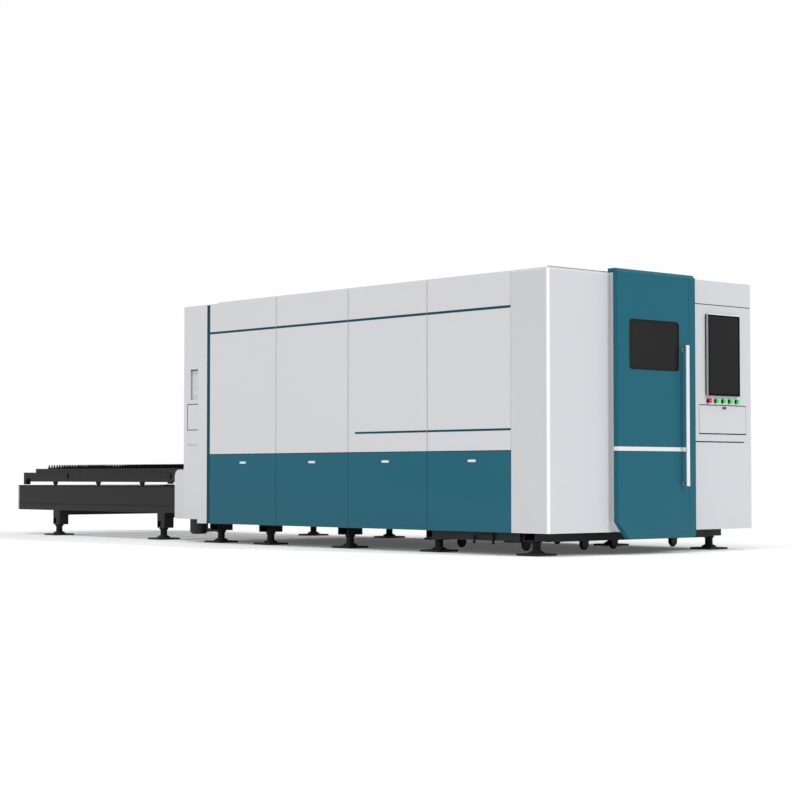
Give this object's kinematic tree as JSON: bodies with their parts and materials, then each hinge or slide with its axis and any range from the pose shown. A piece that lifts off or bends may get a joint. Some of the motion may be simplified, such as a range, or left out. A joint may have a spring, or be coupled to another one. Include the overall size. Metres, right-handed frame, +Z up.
{
  "type": "laser cutting machine",
  "caption": "Enclosed sheet laser cutting machine with pallet shuttle, sliding door and control cabinet.",
  "frame": {"origin": "centre of the bounding box at floor level", "axes": "+X towards the operator end with the sliding door, +Y towards the far long side, +Z up"},
  "size_m": [8.406, 2.511, 2.285],
  "materials": {
    "pale_grey_paint": "satin",
    "white_paint": "satin",
    "teal_paint": "satin",
    "stripe_paint": "satin",
    "black_frame_paint": "satin",
    "slat_steel": "rough",
    "machined_steel": "satin",
    "handle_paint": "satin",
    "dark_window": "gloss",
    "screen_glass": "gloss",
    "seal_rubber": "matte",
    "black_plastic": "matte",
    "red_plastic": "gloss",
    "green_plastic": "gloss",
    "lock_chrome": "polished",
    "grey_plastic": "satin"
  },
  "bodies": {
    "base": {"bed_frame": "black_frame_paint", "front_base_frame": "black_frame_paint", "foot_brackets": "black_frame_paint", "foot_spindles": "black_frame_paint", "foot_plates": "black_frame_paint", "column_pot": "black_frame_paint", "roof_panel": "pale_grey_paint", "upper_panel_1": "pale_grey_paint", "upper_panel_2": "pale_grey_paint", "upper_panel_3": "pale_grey_paint", "upper_panel_4": "pale_grey_paint", "trim_stripes": "stripe_paint", "corner_cover": "white_paint", "rear_column_near": "pale_grey_paint", "rear_portal": "pale_grey_paint", "far_upper_panels": "pale_grey_paint", "far_lower_panels": "teal_paint", "shuttle_covers": "pale_grey_paint", "shuttle_frame": "black_frame_paint", "bed_tracks": "black_frame_paint", "pallet_motor": "black_frame_paint", "door_surround": "white_paint", "door_track": "machined_steel", "cabinet_body": "white_paint", "cabinet_top_panel": "white_paint", "monitor_housing": "grey_plastic", "monitor_screen": "screen_glass", "button_collars": "black_plastic", "gantry_rails": "machined_steel", "caster_wheels": "seal_rubber"},
    "pallet_upper": {"pallet_upper_frame": "black_frame_paint", "pallet_upper_slats": "slat_steel", "pallet_upper_wheels": "machined_steel"},
    "pallet_lower": {"pallet_lower_frame": "black_frame_paint", "pallet_lower_slats": "slat_steel", "pallet_lower_wheels": "machined_steel"},
    "drive_shaft": {"drive_shaft": "machined_steel"},
    "sliding_door": {"door_leaf": "teal_paint", "door_gasket": "seal_rubber", "door_window": "dark_window", "door_handle": "handle_paint"},
    "lower_door_1": {"lower_door_1": "teal_paint"},
    "lower_door_2": {"lower_door_2": "teal_paint"},
    "lower_door_3": {"lower_door_3": "teal_paint"},
    "lower_door_4": {"lower_door_4": "teal_paint"},
    "hatch": {"column_hatch": "pale_grey_paint"},
    "cabinet_door": {"cabinet_door": "white_paint"},
    "drawer": {"keyboard_drawer": "white_paint", "keyboard": "black_plastic"},
    "lock": {"lock_barrel": "lock_chrome", "lock_key": "lock_chrome"},
    "stop_button": {"stop_button": "red_plastic"},
    "start_button_1": {"start_button_1": "green_plastic"},
    "start_button_2": {"start_button_2": "green_plastic"},
    "start_button_3": {"start_button_3": "green_plastic"},
    "start_button_4": {"start_button_4": "green_plastic"},
    "gantry": {"gantry_beam": "white_paint"},
    "carriage": {"head_carriage": "black_frame_paint"},
    "head": {"cutting_head": "machined_steel"},
    "slag_drawer": {"slag_drawer": "black_frame_paint"}
  },
  "joints": [
    {"name": "upper_pallet_travel", "type": "slide", "parent": "base", "child": "pallet_upper", "axis": [1, 0, 0], "range_m": [0, 3.5]},
    {"name": "lower_pallet_travel", "type": "slide", "parent": "base", "child": "pallet_lower", "axis": [1, 0, 0], "range_m": [-3.5, 0]},
    {"name": "drive_shaft_turn", "type": "hinge", "parent": "base", "child": "drive_shaft", "pos_m": [3.25, 0, 0.42], "axis": [0, 1, 0], "continuous": true},
    {"name": "door_slide", "type": "slide", "parent": "base", "child": "sliding_door", "axis": [0, -1, 0], "range_m": [0, 0.7]},
    {"name": "lower_door_1_hinge", "type": "hinge", "parent": "base", "child": "lower_door_1", "pos_m": [0.1535, -1.253, 0.182], "axis": [1, 0, 0], "range_deg": [0, 90]},
    {"name": "lower_door_2_hinge", "type": "hinge", "parent": "base", "child": "lower_door_2", "pos_m": [1.1625, -1.253, 0.182], "axis": [1, 0, 0], "range_deg": [0, 90]},
    {"name": "lower_door_3_hinge", "type": "hinge", "parent": "base", "child": "lower_door_3", "pos_m": [2.167, -1.253, 0.182], "axis": [1, 0, 0], "range_deg": [0, 90]},
    {"name": "lower_door_4_hinge", "type": "hinge", "parent": "base", "child": "lower_door_4", "pos_m": [3.158, -1.253, 0.182], "axis": [1, 0, 0], "range_deg": [0, 90]},
    {"name": "hatch_hinge", "type": "hinge", "parent": "base", "child": "hatch", "pos_m": [-0.527, -1.253, 1.185], "axis": [0, 0, 1], "range_deg": [0, 100]},
    {"name": "cabinet_door_hinge", "type": "hinge", "parent": "base", "child": "cabinet_door", "pos_m": [4.051, 1.25, 0.548], "axis": [0, 0, 1], "range_deg": [0, 100]},
    {"name": "drawer_slide", "type": "slide", "parent": "base", "child": "drawer", "axis": [1, 0, 0], "range_m": [0, 0.3]},
    {"name": "key_turn", "type": "hinge", "parent": "drawer", "child": "lock", "pos_m": [4.051, 0.874, 1.2], "axis": [1, 0, 0], "range_deg": [-90, 0]},
    {"name": "stop_button_press", "type": "slide", "parent": "base", "child": "stop_button", "axis": [-1, 0, 0], "range_m": [0, 0.004], "stiffness_N_per_m": 600},
    {"name": "start_button_1_press", "type": "slide", "parent": "base", "child": "start_button_1", "axis": [-1, 0, 0], "range_m": [0, 0.004], "stiffness_N_per_m": 300},
    {"name": "start_button_2_press", "type": "slide", "parent": "base", "child": "start_button_2", "axis": [-1, 0, 0], "range_m": [0, 0.004], "stiffness_N_per_m": 300},
    {"name": "start_button_3_press", "type": "slide", "parent": "base", "child": "start_button_3", "axis": [-1, 0, 0], "range_m": [0, 0.004], "stiffness_N_per_m": 300},
    {"name": "start_button_4_press", "type": "slide", "parent": "base", "child": "start_button_4", "axis": [-1, 0, 0], "range_m": [0, 0.004], "stiffness_N_per_m": 300},
    {"name": "gantry_travel", "type": "slide", "parent": "base", "child": "gantry", "axis": [1, 0, 0], "range_m": [-2.5, 0.6]},
    {"name": "carriage_travel", "type": "slide", "parent": "gantry", "child": "carriage", "axis": [0, 1, 0], "range_m": [-0.85, 0.85]},
    {"name": "head_lift", "type": "slide", "parent": "carriage", "child": "head", "axis": [0, 0, 1], "range_m": [-0.07, 0.1]},
    {"name": "slag_drawer_pull", "type": "slide", "parent": "base", "child": "slag_drawer", "axis": [0, -1, 0], "range_m": [0, 1.3]}
  ],
  "couplings": [
    {"joint": "lower_pallet_travel", "follows": "upper_pallet_travel", "ratio": -1},
    {"joint": "drive_shaft_turn", "follows": "upper_pallet_travel", "rad_per_m": 16.129}
  ]
}
